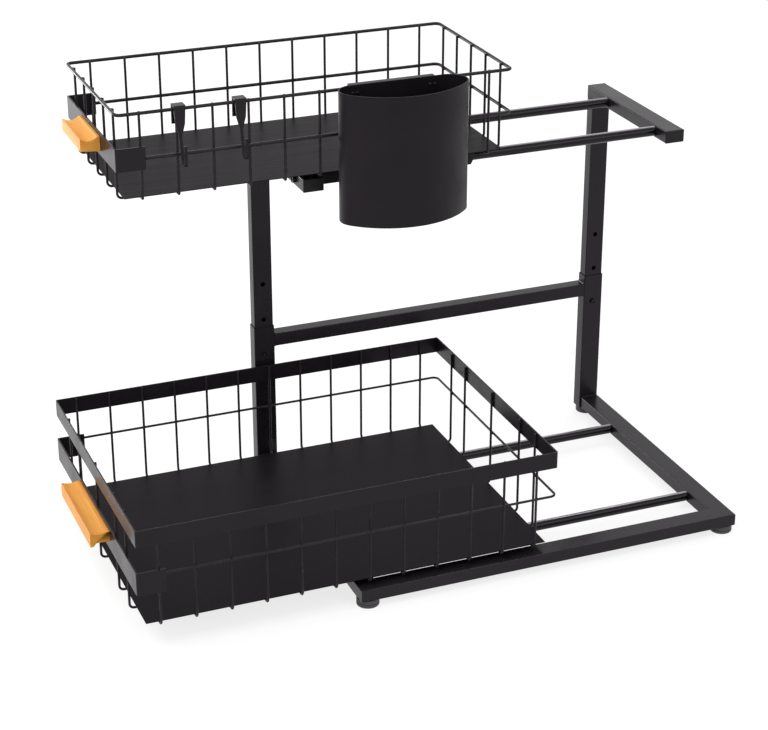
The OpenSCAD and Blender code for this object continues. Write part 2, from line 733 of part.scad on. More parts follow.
// the cup's plan, drawn in by t
module cup_plan(t) difference() {
    union() {
        intersection() {
            translate([cup_front_x, 0]) circle(r = cup_front_r - t, $fn = 160);
            polygon([[cup_front_x, 0], [cup_front_x + cup_far, cup_cut_y],
                     [cup_front_x + cup_far, -cup_cut_y]]);
        }
        for (s = [-1, 1]) translate([cup_corner, s * cup_side_y]) circle(r = cup_corner - t, $fn = 96);
        translate([t, -cup_side_y]) square([cup_corner - t, 2 * cup_side_y]);
    }
    translate([t - cup_far, -cup_far / 2]) square([cup_far, cup_far]);
}

// the front arc's sector runs from its centre through the corners' centres
cup_far = 200;
cup_cut_y = cup_far * cup_side_y / (cup_corner - cup_front_x);

module cup_shell() color(black) translate([cup_x, cup_y, 0]) difference() {
    translate([0, 0, cup_z]) linear_extrude(cup_h) cup_plan(0);
    translate([0, 0, cup_z + cup_floor]) linear_extrude(cup_h) cup_plan(cup_wall);
    for (y = rivet_y) translate([0, y - cup_y, 0]) rod_x([-1, cup_wall + 1], 0, rivet_z, rivet_r / 2);
}

rivet_z = cup_top - rivet_drop;
rivet_y = [for (s = [-1, 1], k = [-0.5, 0.5]) hanger_y + s * rivet_at + k * rivet_gap];

// an inverted channel over the rim wire, riveted to the cup's back
module cup_hanger() color(black) {
    y = [hanger_y - hanger_w / 2, hanger_y + hanger_w / 2];
    difference() {
        union() {
            block([hang_in - strip_t, hang_in], y, [hang_z - hanger_leg, hang_z + strip_t]);
            block([hang_in - strip_t, cup_x], y, [hang_z, hang_z + strip_t]);
            block([cup_x - strip_t, cup_x], y, [hang_z - hanger_back, hang_z + strip_t]);
        }
        for (ry = rivet_y) rod_x([cup_x - strip_t - 1, cup_x + 1], ry, rivet_z, rivet_r / 2);
    }
}

module cup_rivets() color(steel)
    for (y = rivet_y) {
        rod_x([cup_x - strip_t, cup_x + cup_wall + eps], y, rivet_z, rivet_r / 2);
        rod_x([cup_x + cup_wall, cup_x + cup_wall + rivet_h], y, rivet_z, rivet_r);
    }

// ---- hooks ---------------------------------------------------------------------------------

// a flat clip over the rim that narrows to a tail and turns up as a hook
module hook(y) translate([0, y, 0]) {
    w = hook_w / 2;
    v = hook_tail_w / 2;
    t = hook_t;
    top = hang_z + t;
    neck = top - hook_neck;
    end = top - hook_tail;
    tail_x = hook_x + hook_lean;
    block([hang_in - t, hang_in], [-w, w], [hang_z - hook_leg, top]);
    block([hang_in - t, hook_x + t], [-w, w], [hang_z, top]);
    translate([hook_x, 0, 0]) rotate([90, 0, 90]) linear_extrude(t)
        polygon([[-w, top], [1 - w, top - hook_shoulder], [-v, neck],
                 [v, neck], [w - 1, top - hook_shoulder], [w, top]]);
    translate([0, v, 0]) rotate([90, 0, 0]) linear_extrude(2 * v) {
        polygon([[hook_x, neck + 1], [hook_x + t, neck + 1], [hook_x + t, neck],
                 [tail_x + t, end], [tail_x, end], [hook_x, neck]]);
        translate([tail_x + t + hook_bend_r, end]) difference() {
            circle(r = hook_bend_r + t);
            circle(r = hook_bend_r);
            translate([-2 * hook_bend_r - t, 0]) square(4 * hook_bend_r + 2 * t);
        }
        translate([tail_x + t + 2 * hook_bend_r, end]) square([t, hook_tip]);
    }
}

module front_hook() color(black) hook(upper_y0 + hook_1_at);

module back_hook() color(black) hook(upper_y0 + hook_2_at);

// ---- every node, moved so that the origin is at the centre of the object's base -------------

translate(origin) {
    base_front_bar();
    base_side_bar();
    base_back_bar();
    front_sleeve();
    back_sleeve();
    crossbar();
    lower_slide_rods();
    lower_rod_screws();
    feet();
    sleeve_plugs();
    height_lock_screws();
    front_post();
    back_post();
    front_arm();
    back_arm();
    arm_end_plugs();
    upper_slide_rods();
    upper_rod_screws();
    lower_rim_band();
    lower_mid_wire();
    lower_cross_wires();
    lower_long_wires();
    lower_plate();
    lower_front_strap();
    lower_handle();
    lower_handle_screws();
    lower_slider_clips();
    upper_rim_wire();
    upper_mid_wire();
    upper_cross_wires();
    upper_long_wires();
    upper_plate();
    upper_front_strap();
    upper_handle();
    upper_handle_screws();
    upper_slider_clips();
    cup_shell();
    cup_hanger();
    cup_rivets();
    front_hook();
    back_hook();
}
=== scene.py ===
import json
import math

import bmesh
import bpy
from mathutils import Matrix, Vector


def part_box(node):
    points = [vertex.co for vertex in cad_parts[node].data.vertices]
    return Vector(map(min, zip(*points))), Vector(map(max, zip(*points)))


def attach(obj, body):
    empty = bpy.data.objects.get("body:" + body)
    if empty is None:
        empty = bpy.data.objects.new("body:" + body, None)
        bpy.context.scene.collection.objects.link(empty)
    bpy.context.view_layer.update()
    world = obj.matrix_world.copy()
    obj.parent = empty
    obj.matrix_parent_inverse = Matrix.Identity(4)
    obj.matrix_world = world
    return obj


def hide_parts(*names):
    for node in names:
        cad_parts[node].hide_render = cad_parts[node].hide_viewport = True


bl_info = {
    "name": "Pull-out cabinet basket",
    "version": (1, 0, 0),
    "blender": (4, 5, 0),
    "location": "3D View > Sidebar > Basket",
    "description": "Finishes and fine detail of a two-tier pull-out cabinet basket",
    "category": "Object",
}

MM = 0.001

# edge radii of the small pieces
WIRE_TIP = 0.5 * MM
PLATE_EDGE = 0.25 * MM
BLOCK_EDGE = 0.6 * MM
PLUG_EDGE = 0.4 * MM
SCREW_EDGE = 0.3 * MM
CUP_LIP = 0.55 * MM

# how far a weld runs into a sleeve's wall, so that it stays clear of the post inside
BEAD_BITE = 0.7 * MM

# points of a node this close are one point, and faces this level with each other are one face
MERGE = 0.002 * MM
LEVEL = math.radians(0.6)

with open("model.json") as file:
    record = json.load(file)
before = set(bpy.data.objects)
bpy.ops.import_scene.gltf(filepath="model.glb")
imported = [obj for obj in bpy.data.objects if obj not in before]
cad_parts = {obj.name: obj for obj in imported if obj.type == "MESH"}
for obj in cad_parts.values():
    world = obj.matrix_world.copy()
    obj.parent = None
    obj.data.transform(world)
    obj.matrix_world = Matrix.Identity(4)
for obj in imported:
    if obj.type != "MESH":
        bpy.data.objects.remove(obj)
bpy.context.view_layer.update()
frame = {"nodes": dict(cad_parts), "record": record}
bodies = frame["record"]["behaviour"]["bodies"]
finishes = {}


# ---- sizes and colours that a user would change -------------------------------------------------


class BasketPaint(bpy.types.PropertyGroup):
    frame_colour: bpy.props.FloatVectorProperty(
        name="Frame paint", description="Colour of the painted tubes", subtype="COLOR",
        size=3, min=0, max=1, default=(0.0135, 0.0112, 0.0136))
    strip_colour: bpy.props.FloatVectorProperty(
        name="Strip paint", description="Colour of the rim band and the front straps", subtype="COLOR",
        size=3, min=0, max=1, default=(0.0122, 0.0096, 0.0122))
    wire_colour: bpy.props.FloatVectorProperty(
        name="Wire coat", description="Colour of the dipped basket wires", subtype="COLOR",
        size=3, min=0, max=1, default=(0.0215, 0.0185, 0.0215))
    cup_colour: bpy.props.FloatVectorProperty(
        name="Cup paint", description="Colour of the cup's powder coat", subtype="COLOR",
        size=3, min=0, max=1, default=(0.0102, 0.0080, 0.0102))
    tray_colour: bpy.props.FloatVectorProperty(
        name="Tray plastic", description="Colour of the two tray plates", subtype="COLOR",
        size=3, min=0, max=1, default=(0.0092, 0.0074, 0.0092))
    block_colour: bpy.props.FloatVectorProperty(
        name="Block plastic", description="Colour of the slider blocks and the plugs", subtype="COLOR",
        size=3, min=0, max=1, default=(0.0105, 0.0098, 0.0105))
    foot_colour: bpy.props.FloatVectorProperty(
        name="Foot rubber", description="Colour of the four feet", subtype="COLOR",
        size=3, min=0, max=1, default=(0.045, 0.044, 0.046))
    gloss: bpy.props.FloatProperty(
        name="Paint roughness", description="Roughness of the tube paint", subtype="FACTOR",
        min=0.05, max=1, default=0.27)


class BasketWood(bpy.types.PropertyGroup):
    light: bpy.props.FloatVectorProperty(
        name="Light grain", description="Colour between the fibres of the grips", subtype="COLOR",
        size=3, min=0, max=1, default=(0.98, 0.49, 0.085))
    dark: bpy.props.FloatVectorProperty(
        name="Dark grain", description="Colour of the fibres of the grips", subtype="COLOR",
        size=3, min=0, max=1, default=(0.90, 0.34, 0.032))
    strip: bpy.props.FloatProperty(
        name="Strip width", description="Width of one laminated strip", unit="LENGTH",
        min=0.002, max=0.02, default=0.0065)
    round_over: bpy.props.FloatProperty(
        name="Round-over", description="Radius on the edges of the grips", unit="LENGTH",
        min=0.0002, max=0.003, default=0.0011)


class BasketDetail(bpy.types.PropertyGroup):
    tube_edge: bpy.props.FloatProperty(
        name="Tube edge", description="Corner radius of the square tubes", unit="LENGTH",
        min=0.0002, max=0.003, default=0.0009)
    strip_edge: bpy.props.FloatProperty(
        name="Strip edge", description="Edge radius of the flat strips", unit="LENGTH",
        min=0.0001, max=0.0007, default=0.0003)
    nugget: bpy.props.FloatProperty(
        name="Weld nugget", description="Radius of a spot weld between two wires", unit="LENGTH",
        min=0.0005, max=0.003, default=0.00135)
    bead: bpy.props.FloatProperty(
        name="Weld bead", description="Radius of the bead where two tubes meet", unit="LENGTH",
        min=0.0004, max=0.003, default=0.0011)


class BasketStudio(bpy.types.PropertyGroup):
    ambient: bpy.props.FloatProperty(
        name="Ambient", description="Strength of the soft light from all sides",
        min=0, max=2, default=0.46)
    key: bpy.props.FloatProperty(
        name="Key", description="Power of the main softbox", unit="POWER",
        min=0, max=500, default=26)
    top: bpy.props.FloatProperty(
        name="Top", description="Power of the strip softbox overhead", unit="POWER",
        min=0, max=500, default=16)
    rim: bpy.props.FloatProperty(
        name="Rim", description="Power of the softbox that grazes the fronts", unit="POWER",
        min=0, max=500, default=22)
    lens: bpy.props.FloatProperty(
        name="Lens", description="Focal length of the camera", unit="CAMERA",
        min=20, max=300, default=97.03)


# ---- making and finishing pieces ----------------------------------------------------------------


def body_of(node):
    """The body that a node rides on."""
    return next(body for body, members in bodies.items() if node in members)


def wear(nodes, finish):
    """Gives nodes that keep their own shape a finish."""
    for node in nodes:
        piece = frame["nodes"][node]
        for slot in piece.material_slots:
            slot.material = finish
        if not piece.material_slots:
            piece.data.materials.append(finish)


def add_piece(name, bm, body, finish, stands_for=(), sharp=40):
    """Turns a finished bmesh into an object that rides on a body. A finish and its slot share a name."""
    mesh = bpy.data.meshes.new(name)
    bm.to_mesh(mesh)
    bm.free()
    if not mesh.polygons:
        raise RuntimeError(f"{name} came out empty")
    for face in mesh.polygons:
        face.use_smooth = True
    mesh.set_sharp_from_angle(angle=math.radians(sharp))
    mesh.materials.append(finishes[finish])
    piece = bpy.data.objects.new(name, mesh)
    bpy.context.scene.collection.objects.link(piece)
    even = piece.modifiers.new("even_shading", "WEIGHTED_NORMAL")
    even.keep_sharp = True
    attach(piece, body)
    if stands_for:
        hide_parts(*stands_for)


def surface_of(node):
    """The node's own surface with the triangles' shared points merged."""
    bm = bmesh.new()
    bm.from_mesh(frame["nodes"][node].data)
    bmesh.ops.remove_doubles(bm, verts=bm.verts, dist=MERGE)
    return bm


def eased(node, finish, radius, segments=3, shortest=0.0, angle=40, only=None):
    """The node again with its outer edges eased to a radius."""
    bm = surface_of(node)
    bmesh.ops.dissolve_limit(bm, angle_limit=LEVEL, verts=bm.verts, edges=bm.edges,
                             use_dissolve_boundaries=False)
    edges = [e for e in bm.edges
             if len(e.link_faces) == 2 and e.is_convex and e.calc_length() > shortest
             and e.calc_face_angle(0) > math.radians(angle) and (only is None or only(e))]
    bmesh.ops.bevel(bm, geom=edges, offset=radius, offset_type="OFFSET", segments=segments, profile=0.5,
                    affect="EDGES", clamp_overlap=True, material=-1)
    add_piece(f"{node}_eased", bm, body_of(node), finish, [node])


def pour(bm, part):
    """Adds a small finished bmesh to a bigger one."""
    mesh = bpy.data.meshes.new("part")
    part.to_mesh(mesh)
    part.free()
    bm.from_mesh(mesh)
    bpy.data.meshes.remove(mesh)


def pebble(bm, at, size):
    """A small round blob of weld, squashed to its three radii."""
    made = bmesh.ops.create_uvsphere(bm, u_segments=8, v_segments=5, radius=1)
    bmesh.ops.scale(bm, vec=size, verts=made["verts"])
    bmesh.ops.translate(bm, vec=at, verts=made["verts"])


def bead(bm, a, b, radius):
    """A run of weld from a to b, with the soft ripples of the pool."""
    a, b = Vector(a), Vector(b)
    run = b - a
    steps = max(4, int(run.length / (1.2 * radius)))
    part = bmesh.new()
    bmesh.ops.create_cone(part, cap_ends=True, segments=8, radius1=radius, radius2=radius, depth=run.length)
    sides = [e for e in part.edges if abs(e.verts[0].co.z - e.verts[1].co.z) > run.length / 2]
    bmesh.ops.subdivide_edges(part, edges=sides, cuts=steps)
    for v in part.verts:
        swell = 0.82 + 0.18 * math.cos(v.co.z / radius * 2.6)
        v.co.x *= swell
        v.co.y *= swell
    turn = run.to_track_quat("Z", "Y").to_matrix().to_4x4()
    bmesh.ops.transform(part, matrix=Matrix.Translation((a + b) / 2) @ turn, verts=part.verts)
    pour(bm, part)


def turned(outline, axis, steps):
    """A lathe piece: (radius, height) points in mm, swept once about an axis through the origin."""
    bm = bmesh.new()
    along, out = Vector(axis), Vector((1, 0, 0))
    verts = [bm.verts.new((out * radius + along * height) * MM) for radius, height in outline]
    edges = [bm.edges.new(pair) for pair in zip(verts, verts[1:])]
    bmesh.ops.spin(bm, geom=verts + edges, cent=(0, 0, 0), axis=along, angle=2 * math.pi, steps=steps,
                   use_merge=True)
    bmesh.ops.remove_doubles(bm, verts=bm.verts, dist=0.0001 * MM)
    bmesh.ops.recalc_face_normals(bm, faces=bm.faces)
    return bm


def islands(node):
    """Lowest and highest corner of each separate solid in a node."""
    bm = surface_of(node)
    left, found = set(bm.verts), []
    while left:
        seed = left.pop()
        reach, group = [seed], [seed]
        while reach:
            for edge in reach.pop().link_edges:
                for v in edge.verts:
                    if v in left:
                        left.remove(v)
                        reach.append(v)
                        group.append(v)
        low = Vector([min(v.co[i] for v in group) for i in range(3)])
        high = Vector([max(v.co[i] for v in group) for i in range(3)])
        found.append((low, high))
    bm.free()
    return sorted(found, key=lambda box: tuple(box[0]))


# ---- finishes -----------------------------------------------------------------------------------


class Recipe:
    """A material being put together: short names for the nodes that every finish needs."""

    def __init__(self, name):
        self.material = bpy.data.materials.new(name)
        self.material.use_nodes = True
        self.tree = self.material.node_tree
        self.tree.nodes.clear()
        self.shader = self.add("ShaderNodeBsdfPrincipled")
        out = self.add("ShaderNodeOutputMaterial")
        self.link(self.shader.outputs["BSDF"], out.inputs["Surface"])
        self.place = self.add("ShaderNodeTexCoord").outputs["Object"]

    def add(self, kind, **settings):
        node = self.tree.nodes.new(kind)
        for key, value in settings.items():
            setattr(node, key, value)
        return node

    def link(self, a, b):
        self.tree.links.new(a, b)

    def feed(self, socket, value):
        """Lets a pattern drive one of the shader's inputs."""
        self.link(value, self.shader.inputs[socket])

    def stretch(self, scale):
        """Object coordinates, stretched or squeezed per axis."""
        mapping = self.add("ShaderNodeMapping")
        mapping.inputs["Scale"].default_value = scale
        self.link(self.place, mapping.inputs["Vector"])
        return mapping.outputs["Vector"]

    def noise(self, scale, detail=3.0, rough=0.55, vector=None, distortion=0.0):
        """Cloudy noise, from 0 to 1 round a half."""
        node = self.add("ShaderNodeTexNoise")
        node.inputs["Scale"].default_value = scale
        node.inputs["Detail"].default_value = detail
        node.inputs["Roughness"].default_value = rough
        node.inputs["Distortion"].default_value = distortion
        self.link(vector or self.place, node.inputs["Vector"])
        return node.outputs["Fac"]

    def ramp(self, value, stops):
        """Colours laid out along a value."""
        node = self.add("ShaderNodeValToRGB")
        while len(node.color_ramp.elements) < len(stops):
            node.color_ramp.elements.new(0.5)
        for element, (at, colour) in zip(node.color_ramp.elements, stops):
            element.position = at
            element.color = (*colour, 1)
        self.link(value, node.inputs["Fac"])
        return node.outputs["Color"]

    def shades(self, value, colour, dark, pale, start=0.3, end=0.7):
        """One colour that wanders between a darker and a paler share of itself."""
        ends = [tuple(min(1, c * share) for c in colour) for share in (dark, pale)]
        return self.ramp(value, [(start, ends[0]), (end, ends[1])])

    def span(self, value, low, high, start=0.0, end=1.0):
        """A value from start to end, spread from low to high."""
        node = self.add("ShaderNodeMapRange")
        node.inputs["From Min"].default_value = start
        node.inputs["From Max"].default_value = end
        node.inputs["To Min"].default_value = low
        node.inputs["To Max"].default_value = high
        self.link(value, node.inputs["Value"])
        return node.outputs["Result"]

    def blend(self, factor, a, b, kind="MIX"):
        """Two colours mixed by a factor; each may be a fixed value or a pattern."""
        node = self.add("ShaderNodeMix", data_type="RGBA", blend_type=kind)
        amount, first, second = node.inputs[0], node.inputs[6], node.inputs[7]
        for value, socket in ((factor, amount), (a, first), (b, second)):
            if isinstance(value, bpy.types.NodeSocket):
                self.link(value, socket)
            else:
                socket.default_value = value if socket == amount else (*value, 1)
        return node.outputs[2]

    def maths(self, kind, a, b):
        """Two values, each a number or a pattern, put through one operation."""
        node = self.add("ShaderNodeMath", operation=kind)
        for value, socket in zip((a, b), node.inputs):
            if isinstance(value, bpy.types.NodeSocket):
                self.link(value, socket)
            else:
                socket.default_value = value
        return node.outputs[0]

    def relief(self, height, strength, depth):
        """Fine bumps, with their depth in mm."""
        node = self.add("ShaderNodeBump")
        node.inputs["Strength"].default_value = strength
        node.inputs["Distance"].default_value = depth * MM
        self.link(height, node.inputs["Height"])
        self.feed("Normal", node.outputs["Normal"])

    def facing_up(self, start=0.6, end=1.0):
        """1 on level tops, 0 on walls."""
        normal = self.add("ShaderNodeNewGeometry").outputs["Normal"]
        split = self.add("ShaderNodeSeparateXYZ")
        self.link(normal, split.inputs[0])
        return self.span(split.outputs["Z"], 0, 1, start, end)

    def gloss(self, level, coat=0.0, coat_rough=0.1, tint=(1, 0.93, 1)):
        """How much of the room the surface throws back."""
        self.shader.inputs["Specular IOR Level"].default_value = level
        self.shader.inputs["Specular Tint"].default_value = (*tint, 1)
        self.shader.inputs["Coat Weight"].default_value = coat
        self.shader.inputs["Coat Roughness"].default_value = coat_rough


def sprayed_paint(name, colour, rough, level, peel=0.05, dust=0.05, coat=0.0):
    """Sprayed black paint: orange peel, uneven gloss, a breath of dust on the tops."""
    dust_colour = (0.085, 0.080, 0.078)
    r = Recipe(name)
    base = r.shades(r.noise(9, 4, 0.6), colour, 0.80, 1.22)
    specks = r.noise(420, 2, 0.7)
    settled = r.maths("MULTIPLY", r.span(specks, 0, dust, 0.56, 0.74), r.facing_up())
    r.feed("Base Color", r.blend(settled, base, dust_colour))
    r.feed("Roughness", r.span(r.noise(34, 4, 0.6), rough * 0.82, rough * 1.22, 0.3, 0.7))
    r.relief(r.noise(760, 2, 0.5), peel, 0.4)
    r.gloss(level, coat, 0.12)
    return r.material


def dipped_wire(name, colour):
    """The thick glossy coat that a wire basket is dipped in."""
    r = Recipe(name)
    r.feed("Base Color", r.shades(r.noise(30, 3), colour, 0.8, 1.3))
    r.feed("Roughness", r.span(r.noise(60, 3), 0.20, 0.30, 0.3, 0.7))
    r.relief(r.noise(140, 2), 0.05, 0.4)
    r.gloss(0.13)
    return r.material


def drawn_rod(name):
    """A black plated rod with fine drawing lines and a painted highlight along its top: bare steel rubbed
    bright where the blocks run, laid where the overhead light's highlight falls.
    """
    plating_dark, plating_pale = (0.0030, 0.0026, 0.0032), (0.0060, 0.0052, 0.0062)
    # pale metal of the painted highlight along the rod's top
    highlight_steel = (0.46, 0.44, 0.46)
    r = Recipe(name)
    lines = r.noise(1, 3, 0.6, r.stretch((1400, 6, 1400)))
    plating = r.ramp(lines, [(0.3, plating_dark), (0.7, plating_pale)])
    patches = r.noise(1, 2, 0.5, r.stretch((60, 9, 60)))
    # painted highlight: the level top of the rod turns bright metallic steel, standing in for the overhead
    # light's reflection as well as for wear from the blocks
    rubbed_top_highlight = r.maths("MULTIPLY", r.facing_up(0.950, 0.985), r.span(patches, 0.75, 1, 0.35, 0.65))
    r.feed("Base Color", r.blend(rubbed_top_highlight, plating, highlight_steel))
    r.feed("Metallic", r.maths("MULTIPLY", rubbed_top_highlight, 0.9))
    r.feed("Roughness", r.span(lines, 0.09, 0.16, 0.3, 0.7))
    r.relief(lines, 0.05, 0.2)
    r.gloss(0.22)
    return r.material


def pressed_sheet(name, colour):
    """A thin black tray: fine roller lines along its length and a soft sheen."""
    r = Recipe(name)
    lines = r.noise(1, 4, 0.65, r.stretch((260, 7, 60)))
    grain = r.noise(900, 2, 0.6)
    mixed = r.maths("ADD", r.maths("MULTIPLY", lines, 0.7), r.maths("MULTIPLY", grain, 0.3))
    r.feed("Base Color", r.shades(mixed, colour, 0.78, 1.35, 0.35, 0.66))
    r.feed("Roughness", r.span(lines, 0.34, 0.50, 0.3, 0.7))
    r.relief(mixed, 0.10, 0.3)
    r.gloss(0.04)
    return r.material


def moulded_plastic(name, colour, rough, level):
    """Black injection-moulded plastic with a spark-eroded grain."""
    r = Recipe(name)
    r.feed("Base Color", r.shades(r.noise(24, 3), colour, 0.8, 1.3))
    r.feed("Roughness", r.span(r.noise(90, 3), rough * 0.86, rough * 1.16, 0.3, 0.7))
    r.relief(r.noise(1500, 2, 0.6), 0.12, 0.3)
    r.gloss(level)
    return r.material


def blackened_steel(name):
    """Blackened steel of the screws and rivets, rubbed a little at the crowns."""
    oxide, worn = (0.012, 0.011, 0.012), (0.040, 0.038, 0.041)
    r = Recipe(name)
    rub = r.noise(700, 3, 0.6)
    r.feed("Base Color", r.ramp(rub, [(0.35, oxide), (0.72, worn)]))
    r.feed("Roughness", r.span(rub, 0.26, 0.44, 0.3, 0.7))
    r.shader.inputs["Metallic"].default_value = 0.85
    return r.material


def oiled_wood(name, light, dark, strip):
    """Laminated honey wood: long fibres, pores and a dark line between the strips."""
    between = tuple((a + b) / 2 for a, b in zip(dark, light))
    fibre_shade, clear = (0.80, 0.72, 0.60), (1, 1, 1)
    glue_line, pore = (0.50, 0.25, 0.09), (0.42, 0.20, 0.06)
    r = Recipe(name)
    drift = r.noise(1, 3, 0.5, r.stretch((9, 70, 70)), 0.4)
    fibre = r.noise(1, 4, 0.6, r.stretch((26, 900, 900)), 0.2)
    broad = r.ramp(drift, [(0.30, dark), (0.48, between), (0.72, light)])
    fine = r.ramp(fibre, [(0.30, fibre_shade), (0.55, clear)])
    grain = r.blend(0.75, broad, fine, "MULTIPLY")
    bands = r.add("ShaderNodeTexWave", wave_type="BANDS", bands_direction="Z", wave_profile="SIN")
    bands.inputs["Scale"].default_value = 2 * math.pi / (20 * strip)
    bands.inputs["Distortion"].default_value = 0.5
    bands.inputs["Detail"].default_value = 1
    r.link(r.place, bands.inputs["Vector"])
    joint = r.span(bands.outputs["Fac"], 0.22, 0, 0.0, 0.06)
    lined = r.blend(joint, grain, glue_line)
    pores = r.span(r.noise(1, 1, 0.4, r.stretch((120, 1500, 1500))), 0, 0.35, 0.68, 0.76)
    r.feed("Base Color", r.blend(pores, lined, pore))
    r.feed("Roughness", r.span(fibre, 0.40, 0.56, 0.3, 0.7))
    r.relief(fibre, 0.12, 0.3)
    r.gloss(0.3, 0.08, 0.3, tint=(1, 1, 1))
    return r.material


def mix_finishes():
    """Mixes every finish once, under the name of the record's slot that wears it."""
    paint = bpy.context.scene.basket_paint
    wood = bpy.context.scene.basket_wood
    finishes["frame_paint"] = sprayed_paint("frame_paint", paint.frame_colour, paint.gloss, level=0.2)
    finishes["strip_paint"] = sprayed_paint("strip_paint", paint.strip_colour, paint.gloss * 1.1, level=0.12,
                                            peel=0.04, dust=0.08, coat=0.13)
    finishes["wire_coat"] = dipped_wire("wire_coat", paint.wire_colour)
    finishes["rod_finish"] = drawn_rod("rod_finish")
    finishes["cup_paint"] = sprayed_paint("cup_paint", paint.cup_colour, 0.42, level=0.17,
                                          peel=0.12, dust=0.1)
    finishes["tray_plastic"] = pressed_sheet("tray_plastic", paint.tray_colour)
    finishes["black_plastic"] = moulded_plastic("black_plastic", paint.block_colour, 0.46, level=0.2)
    finishes["foot_rubber"] = moulded_plastic("foot_rubber", paint.foot_colour, 0.55, level=0.5)
    finishes["handle_wood"] = oiled_wood("handle_wood", wood.light, wood.dark, wood.strip)
    finishes["screw_steel"] = blackened_steel("screw_steel")


# ---- the pieces ---------------------------------------------------------------------------------


class BASKET_OT_studio(bpy.types.Operator):
    """Lay the floor, hang the softboxes and set up the camera"""
    bl_idname = "basket.studio"
    bl_label = "Studio"

    def execute(self, context):
        studio = context.scene.basket_studio
        context.scene.view_settings.view_transform = "Standard"
        self.sky(context, studio.ambient)
        self.floor(context)
        self.softbox(context, "key_softbox", (0.5, -1.5, 2.1), (1.7, 1.2), studio.key)
        self.softbox(context, "top_softbox", (-1.13, 0.70, 2.04), (1.7, 0.45), studio.top)
        self.softbox(context, "rim_softbox", (-1.9, -0.95, 0.30), (1.5, 0.56), studio.rim)
        self.softbox(context, "fill_softbox", (1.9, 0.9, 1.5), (1.2, 1.2), studio.key * 0.25)
        self.camera(context, studio.lens)
        return {"FINISHED"}

    def seen(self, tree):
        """1 for what the camera, a reflection or clear plastic sees, 0 for light that falls on the object."""
        path = tree.nodes.new("ShaderNodeLightPath")
        total = path.outputs["Is Camera Ray"]
        for name in ("Is Glossy Ray", "Is Transmission Ray"):
            either = tree.nodes.new("ShaderNodeMath")
            either.operation = "MAXIMUM"
            tree.links.new(total, either.inputs[0])
            tree.links.new(path.outputs[name], either.inputs[1])
            total = either.outputs[0]
        return total

    def sky(self, context, ambient):
        """White where it is seen, and only the ambient level where it lights."""
        world = bpy.data.worlds.new("studio_white")
        context.scene.world = world
        world.use_nodes = True
        tree = world.node_tree
        tree.nodes.clear()
        lift = tree.nodes.new("ShaderNodeMath")
        lift.operation = "MULTIPLY_ADD"
        lift.inputs[1].default_value = 1 - ambient
        lift.inputs[2].default_value = ambient
        tree.links.new(self.seen(tree), lift.inputs[0])
        light = tree.nodes.new("ShaderNodeBackground")
        light.inputs["Color"].default_value = (1, 1, 1, 1)
        tree.links.new(lift.outputs[0], light.inputs["Strength"])
        out = tree.nodes.new("ShaderNodeOutputWorld")
        tree.links.new(light.outputs[0], out.inputs["Surface"])

    def floor(self, context):
        """A white floor that glows where it is seen but still takes the rack's shadow."""
        half, drop = 6, 0.2 * MM
        bm = bmesh.new()
        bmesh.ops.create_grid(bm, x_segments=1, y_segments=1, size=half)
        bmesh.ops.translate(bm, vec=(0, 0, -drop), verts=bm.verts)
        mesh = bpy.data.meshes.new("floor")
        bm.to_mesh(mesh)
        bm.free()
        mesh.materials.append(self.floor_finish(plain=0.88, shaded=0.32, glow=0.78))
        floor = bpy.data.objects.new("floor", mesh)
        context.scene.collection.objects.link(floor)

    def floor_finish(self, plain, shaded, glow):
        """Plain for the light that it throws back, shaded and glowing where it is seen."""
        material = bpy.data.materials.new("studio_floor")
        material.use_nodes = True
        tree = material.node_tree
        tree.nodes.clear()
        bounced = tree.nodes.new("ShaderNodeBsdfDiffuse")
        bounced.inputs["Color"].default_value = (plain, plain, plain, 1)
        matt = tree.nodes.new("ShaderNodeBsdfDiffuse")
        matt.inputs["Color"].default_value = (shaded, shaded, shaded, 1)
        shine = tree.nodes.new("ShaderNodeEmission")
        shine.inputs["Color"].default_value = (1, 1, 1, 1)
        shine.inputs["Strength"].default_value = glow
        both = tree.nodes.new("ShaderNodeAddShader")
        tree.links.new(matt.outputs[0], both.inputs[0])
        tree.links.new(shine.outputs[0], both.inputs[1])
        pick = tree.nodes.new("ShaderNodeMixShader")
        tree.links.new(self.seen(tree), pick.inputs[0])
        tree.links.new(bounced.outputs[0], pick.inputs[1])
        tree.links.new(both.outputs[0], pick.inputs[2])
        out = tree.nodes.new("ShaderNodeOutputMaterial")
        tree.links.new(pick.outputs[0], out.inputs["Surface"])
        return material

    def softbox(self, context, name, at, size, power):
        """A rectangular lamp that faces the middle of the rack."""
        middle = Vector((0, -0.05, 0.22))
        lamp = bpy.data.lights.new(name, "AREA")
        lamp.shape = "RECTANGLE"
        lamp.size, lamp.size_y = size
        lamp.energy = power
        box = bpy.data.objects.new(name, lamp)
        box.location = at
        box.rotation_euler = (middle - Vector(at)).to_track_quat("-Z", "Y").to_euler()
        context.scene.collection.objects.link(box)

    def camera(self, context, lens):
        """A long lens, above the open side and a little to the front."""
        at = (1.707935, -0.68756, 1.01525)
        yaw, pitch = math.radians(21.972), math.radians(24.654)
        view = bpy.data.cameras.new("camera")
        view.sensor_fit = "HORIZONTAL"
        view.sensor_width = 36
        view.lens = lens
        view.clip_end = 30
        camera = bpy.data.objects.new("camera", view)
        camera.location = at
        ahead = Vector((-math.cos(yaw) * math.cos(pitch), math.sin(yaw) * math.cos(pitch), -math.sin(pitch)))
        camera.rotation_euler = ahead.to_track_quat("-Z", "Y").to_euler()
        context.scene.collection.objects.link(camera)
        context.scene.camera = camera


